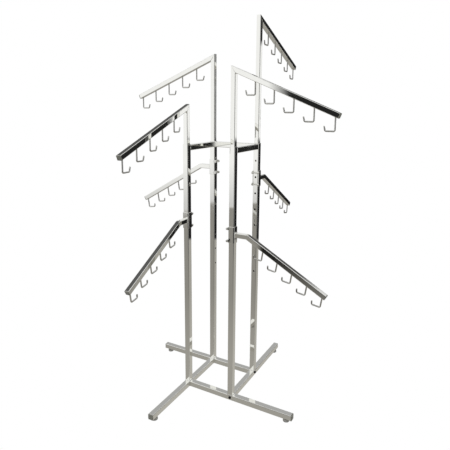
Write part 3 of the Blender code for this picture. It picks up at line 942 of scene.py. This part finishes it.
def socket_bolt(origin, way):
    """A button head: shaft, seat, dome, then the hexagon socket going back down into the dome."""
    dome = np.linspace(0.0, 1.0, 7)[1:] * SOCKET_DOME_ANGLE
    radius = SOCKET_DOME_RADIUS * np.cos(dome)
    at = 0.0004 + SOCKET_DOME_RISE * np.sin(dome) / np.sin(SOCKET_DOME_ANGLE)
    seat = [(0.0, SOCKET_SHAFT), (0.0, SOCKET_DOME_RADIUS - 0.0002), (0.0004, SOCKET_DOME_RADIUS)]
    profile = np.array([(-SOCKET_REACH, SOCKET_SHAFT), *seat, *zip(at, radius)])
    hexagon = hexagon_radii(SOCKET_HEXAGON, 36)
    top = profile[-1, 0]
    radii = np.broadcast_to(profile[:, 1:], (len(profile), 36))
    radii = np.vstack([radii, hexagon * 1.08, hexagon, hexagon])
    at = np.r_[profile[:, 0], top + 0.00005, top - 0.0002, top - SOCKET_DEPTH]
    return lofted(polar_loops(radii, 36), at, origin, way, np.cross(way, UP), UP)


for side in SIDES:
    low, high = side_box(f"leg_tube_{side}", side)
    end = np.array([0.0, low[1], (low[2] + high[2]) / 2])
    plug = plug_rows(TUBE / 2, TUBE_CORNER, TUBE_WALL, LEG_PLUG_DEPTH, end, -Y_WAY)
    add_piece(f"leg_plug_{side}", [(plug, {})], side, "cap_plastic", f"leg_cap_{side}")
    add_piece(f"glide_{side}", glide_grids(side), side, "glide_plastic", f"floor_glide_{side}")
    face = np.array([-TUBE / 2 - 0.0002, 0.0, end[2]])
    bolt = socket_bolt(face, -X_AXIS)
    add_piece(f"frame_bolt_{side}", [(bolt, {})], side, "black_steel", f"corner_bolt_{side}")
print("plugs, glides and bolts;", tally)


# %% [markdown]
# ## Telescoping tubes and top arms
#
# A smaller tube slides in each post. Its top is mitred to the sloping arm, so that the loop of
# points there lies in the plane that halves the corner, stretched by the slope of that plane.
# Both tubes end in the same stretched loop, and a bead of weld covers the seam.

# %% Telescoping tubes
TOP_SLOPE = math.radians(22.1)
TOP_LENGTH = 0.4696
TOP_HOOK_FIRST, TOP_HOOK_PITCH = 0.1060, 0.0880
SEAM_GAP = 0.00025
BUTTON_HOLE_RADIUS = 0.0041
TOP_OUT = np.array([0.0, -math.cos(TOP_SLOPE), -math.sin(TOP_SLOPE)])
MITRE = math.tan((math.pi / 2 + TOP_SLOPE) / 2)
MITRE_NORMAL = np.array([0.0, 1.0, MITRE])
INNER_TUBE = (INNER / 2, INNER_WALL, INNER_CORNER, INNER_INSIDE_CORNER)


def top_corner(side):
    """Where the middle lines of the upright tube and the arm cross, from the mitre's highest point."""
    _, high = side_box(f"inner_post_{side}", side)
    return (high[2] - INNER / 2 * MITRE + SEAM_GAP) * UP


for side in SIDES:
    low, _ = side_box(f"inner_post_{side}", side)
    button_low, button_high = side_box(f"snap_button_{side}", side)
    button_z = (button_low[2] + button_high[2]) / 2
    high = top_corner(side)[2] - SEAM_GAP
    grids = drilled_tube(low[2], high, *INNER_TUBE, [button_z], BUTTON_HOLE_RADIUS, MITRE_NORMAL)
    add_piece(f"sliding_tube_{side}", grids, side, "post_chrome", f"inner_post_{side}")
print("the arms meet their tubes at", [round(float(top_corner(side)[2]), 3) for side in SIDES])

# %% [markdown]
# ## Wire hooks
#
# Every arm carries five hooks of round wire, welded under it. Each one drops, runs back
# towards the post and turns up at its tip. It is a circle carried along a path of straights
# and arcs. The circle starts wide, as a fillet of weld whose first loops lie along the arm, and
# it closes in a rounded tip. A curve with a bevel could draw the wire, but not the fillet.

# %% Wire hooks
WIRE = 0.0032
WIRE_POINTS = 16
HOOK_BEND = 0.006
FILLET = 0.0020
HOOK_SINK = 0.0006
HOOK_COUNT = 5
TOP_HOOK = (0.0550, 0.0370, 0.0200, math.radians(14), 0.0)
LOWER_HOOK = (0.0460, 0.0360, 0.0165, math.radians(8), math.radians(9))


def hook_rows(under, arm_way, shape):
    """A circle along the hook's path, its radius a concave fillet at the arm and a dome at the tip.

    Within the fillet the radius is wire + fillet * (1 - sqrt(1 - u^2)), where u falls from 1 to 0, and
    the loops turn from the arm's slope to square with the wire. At the tip it is wire * cos(a).
    """
    drop, run, tip, lean, tilt = shape
    down = np.array([0.0, math.sin(tilt), -math.cos(tilt)])
    back = np.array([0.0, math.cos(tilt), math.sin(tilt)])
    rise = -down * math.cos(lean) + back * math.sin(lean)
    bottom = under + down * (drop - WIRE)
    corner = bottom + back * run
    dome = np.sin(np.linspace(0.0, np.pi / 2, 6)[1:])
    end = corner + rise * (tip - 0.8 * WIRE)
    points, ways = rounded_route([under + down * 1.6 * FILLET, bottom, corner, end], HOOK_BEND, 8)
    rest = np.linspace(1.0, 0.0, 7)
    neck = under + down * ((1 - rest) * FILLET * 1.5)[:, None]
    origins = [under - down * HOOK_SINK, neck, points, end + rise * (0.8 * WIRE * dome)[:, None]]
    origins = np.vstack(origins)
    radii = np.r_[WIRE + FILLET, WIRE + FILLET * (1 - np.sqrt(1 - rest**2)), np.full(len(points), WIRE)]
    radii = np.r_[radii, WIRE * np.sqrt(1 - dome**2)]
    square = normals_of(np.vstack([np.tile(down, (8, 1)), ways, np.tile(rise, (5, 1))]))
    sloped = arm_way / (arm_way @ square[0])
    share = np.r_[1.0, rest, np.zeros(len(square) - 8)][:, None]
    normals = square * (1 - share) + sloped * share
    return capped(swept(polar_loops(radii[:, None], WIRE_POINTS), origins, normals))


def hooks_under(start, way, first, pitch, shape):
    """The hooks of one arm, at even steps along its underside."""
    below = -normals_of([way])[0] * INNER / 2
    places = [start + way * (first + i * pitch) + below for i in range(HOOK_COUNT)]
    return [(hook_rows(place, way, shape), {}) for place in places]


print("a hook takes", hook_rows(np.zeros(3), TOP_OUT, TOP_HOOK).shape[:2], "points")

# %% Top arms
for side in SIDES:
    start = top_corner(side)
    points = [start + TOP_OUT * SEAM_GAP, start + TOP_OUT * TOP_LENGTH]
    square = normals_of([TOP_OUT])[0]
    ends = np.array([square - TOP_OUT * MITRE, square])
    rows = tube_rows(points, np.tile(TOP_OUT, (2, 1)), *INNER_TUBE, normals=ends)
    hooks = hooks_under(start, TOP_OUT, TOP_HOOK_FIRST, TOP_HOOK_PITCH, TOP_HOOK)
    add_piece(f"sloping_arm_{side}", [(rows, CLOSED)], side, run_finish(side), f"top_arm_{side}")
    add_piece(f"top_hooks_{side}", hooks, side, "wire_chrome", f"top_arm_{side}", replaces=False)
    seam = bead(*INNER_LOOP, start, MITRE_NORMAL, UP, *MITRE_BEAD, onward=TOP_OUT)
    add_weld(f"mitre_weld_{side}", [seam], side, f"top_arm_{side}")
    plug = plug_rows(INNER / 2, INNER_CORNER, INNER_WALL, ARM_PLUG_DEPTH, points[1], TOP_OUT)
    add_piece(f"arm_plug_{side}", [(plug, {})], side, "cap_plastic", f"top_arm_cap_{side}")
print("top arms;", tally)

# %% [markdown]
# ## Snap buttons
#
# A domed steel button stands behind the hole of each post. It rides in the sliding tube on a
# spring, and its flange keeps it from falling out.

# %% Snap buttons
BUTTON_RADIUS, BUTTON_CROWN = 0.0037, 0.0016
BUTTON_FLANGE = [(0.0, 0.0040), (0.0003, 0.0054), (0.0015, 0.0054), (0.00155, BUTTON_RADIUS)]
for side in SIDES:
    low, high = side_box(f"snap_button_{side}", side)
    origin = np.array([0.0, low[1], (low[2] + high[2]) / 2])
    crown = np.linspace(0.0, np.pi / 2, 8)[1:]
    reach = high[1] - low[1] - BUTTON_CROWN
    dome = np.stack([reach + BUTTON_CROWN * np.sin(crown), BUTTON_RADIUS * np.cos(crown) ** 0.8], -1)
    profile = np.vstack([BUTTON_FLANGE, [(reach, BUTTON_RADIUS)], dome])
    button = [(turned(profile, origin, Y_WAY), {})]
    add_piece(f"button_{side}", button, side, "button_steel", f"snap_button_{side}")
print("snap buttons;", tally)

# %% [markdown]
# ## Clamp brackets
#
# The lower arms are welded to pressed brackets that wrap three sides of the post. The sheet is
# a strip with rounded edges, carried round a U. Two pairs of ears reach past the back of the
# post, and a bolt through each pair draws the bracket tight.

# %% Brackets
BRACKET_WALL = 0.0025
BRACKET_BEND = 0.0030
BOLT_OFFSET = 0.0270
BOLT_BEHIND = 0.0056
EAR_HALF = 0.0062
SHEET_EDGE, EAR_EDGE, SHEET_GUARD = 0.0007, 0.0006, 0.0002


def bracket_grids(side):
    """A strip round three sides of the post, and four ears with half-round ends."""
    low, high = side_box(f"clamp_bracket_{side}", side)
    middle = (low[2] + high[2]) / 2
    half_height = (high[2] - low[2]) / 2
    line = high[0] - BRACKET_WALL / 2
    back = TUBE / 2 - 0.0004
    corners = [(-line, back, middle), (-line, -line, middle), (line, -line, middle), (line, back, middle)]
    points, ways = rounded_route(corners, BRACKET_BEND, 6)
    outward = np.cross(ways, UP)
    thick = BRACKET_WALL / 2
    loops = rounded_loops(np.tile([half_height, thick], (len(points), 1)), SHEET_EDGE, SHEET_GUARD)
    grids = [(capped(swept(loops, points, outward, UP)), {})]
    turn = np.linspace(0.0, 0.46 * np.pi, 9)
    reach = np.r_[back - 0.002, high[1] - EAR_HALF + EAR_HALF * np.sin(turn)]
    reach[1:] *= high[1] / reach[-1]
    tall = np.r_[EAR_HALF, EAR_HALF * np.cos(turn)]
    ear = rounded_loops(np.stack([tall, np.full(len(tall), thick)], -1), EAR_EDGE, SHEET_GUARD)
    for x in (-line, line):
        for z in (middle - BOLT_OFFSET, middle + BOLT_OFFSET):
            places = np.stack([np.full(len(reach), x), reach, np.full(len(reach), z)], -1)
            grids.append((capped(swept(ear, places, np.tile(X_AXIS, (len(reach), 1)), UP)), {}))
    return grids


for side in SIDES:
    add_piece(f"bracket_{side}", bracket_grids(side), side, "bracket_chrome", f"clamp_bracket_{side}")
print("brackets;", tally)

# %% Clamp bolts
WASHER, NUT, THREAD_END = 0.0007, 0.0042, 0.0062
FLATS, SHAFT = 0.0100, 0.0030
HEAD, HEAD_RADIUS, HEAD_FLAT = 0.0016, 0.0048, 0.0034


def clamp_bolt_grids(origin, face):
    """Along the side's X: thread, nut, washer, shaft, and a low head that curves up to a flat top."""
    washer = [(0.0, 0.0034), (0.0, 0.0058), (WASHER, 0.0058), (WASHER, 0.0034)]
    left, right = origin - face * X_AXIS, origin + face * X_AXIS
    rise = np.linspace(0.0, np.pi / 2, 8)[1:]
    radius = HEAD_FLAT + (HEAD_RADIUS - HEAD_FLAT) * np.cos(rise)
    dome = np.stack([0.0004 + (HEAD - 0.0004) * np.sin(rise), radius], -1)
    seat = [(0.0002, SHAFT), (0.0002, HEAD_RADIUS - 0.0001), (0.0004, HEAD_RADIUS)]
    head = np.vstack([seat, dome, [(HEAD, HEAD_FLAT - 0.0002)]])
    grids = [turned(head, right, X_AXIS, 40), turned(rounded_profile(washer, 0.0002), left, -X_AXIS)]
    grids.append(hexagonal(WASHER, NUT, FLATS, left, -X_AXIS))
    grids.append(turned([(-face - WASHER, SHAFT), (face + 0.0002, SHAFT)], origin, X_AXIS, 24))
    grids.append(threaded(NUT - 0.001, THREAD_END, SHAFT, 0.0010, left, -X_AXIS))
    return [(grid, {}) for grid in grids]


for side in SIDES:
    low, high = side_box(f"clamp_bracket_{side}", side)
    for label, offset in (("upper", BOLT_OFFSET), ("lower", -BOLT_OFFSET)):
        centre = np.array([0.0, TUBE / 2 + BOLT_BEHIND, (low[2] + high[2]) / 2 + offset])
        node = f"clamp_bolt_{label}_{side}"
        grids = clamp_bolt_grids(centre, high[0])
        add_piece(f"{label}_bolt_{side}", grids, side, "bolt_steel", node)
print("clamp bolts;", tally)

# %% [markdown]
# ## Lower arms
#
# A lower arm leaves its bracket level and then bends down. The bend is an arc, and as the loop
# is carried round it the top and bottom of the tube curve while its sides stay flat.

# %% Lower arms
LOWER_SLOPE = math.radians(29.7)
LOWER_STUB, LOWER_LENGTH, LOWER_BEND = 0.0711, 0.3993, 0.018
LOWER_HOOK_FIRST, LOWER_HOOK_PITCH = 0.0899, 0.0751
LOWER_OUT = np.array([0.0, -math.cos(LOWER_SLOPE), -math.sin(LOWER_SLOPE)])
for side in SIDES:
    low, high = side_box(f"clamp_bracket_{side}", side)
    middle = (low[2] + high[2]) / 2
    knee = np.array([0.0, -LOWER_STUB, middle])
    start = np.array([0.0, low[1] - JOINT_GAP, middle])
    tip = knee + LOWER_OUT * LOWER_LENGTH
    points, ways = rounded_route([start, knee, tip], LOWER_BEND, 10)
    tube = [(tube_rows(points, ways, *INNER_TUBE), CLOSED)]
    hooks = hooks_under(knee, LOWER_OUT, LOWER_HOOK_FIRST, LOWER_HOOK_PITCH, LOWER_HOOK)
    add_piece(f"bent_arm_{side}", tube, side, run_finish(side), f"lower_arm_{side}")
    add_piece(f"lower_hooks_{side}", hooks, side, "wire_chrome", f"lower_arm_{side}", replaces=False)
    seam = bead(*INNER_LOOP, start, Y_NORMAL, Y_WAY, *ARM_BEAD)
    add_weld(f"arm_weld_{side}", [seam], side, f"lower_arm_{side}")
    plug = plug_rows(INNER / 2, INNER_CORNER, INNER_WALL, ARM_PLUG_DEPTH, tip, LOWER_OUT)
    add_piece(f"lower_plug_{side}", [(plug, {})], side, "cap_plastic", f"lower_arm_cap_{side}")
print("lower arms;", tally)

# %% [markdown]
# ## Last touches
#
# The picture is shown as it is lit, with no film curve, so that the white studio stays white.

# %% Show the picture as it is lit
bpy.context.scene.view_settings.view_transform = "Standard"
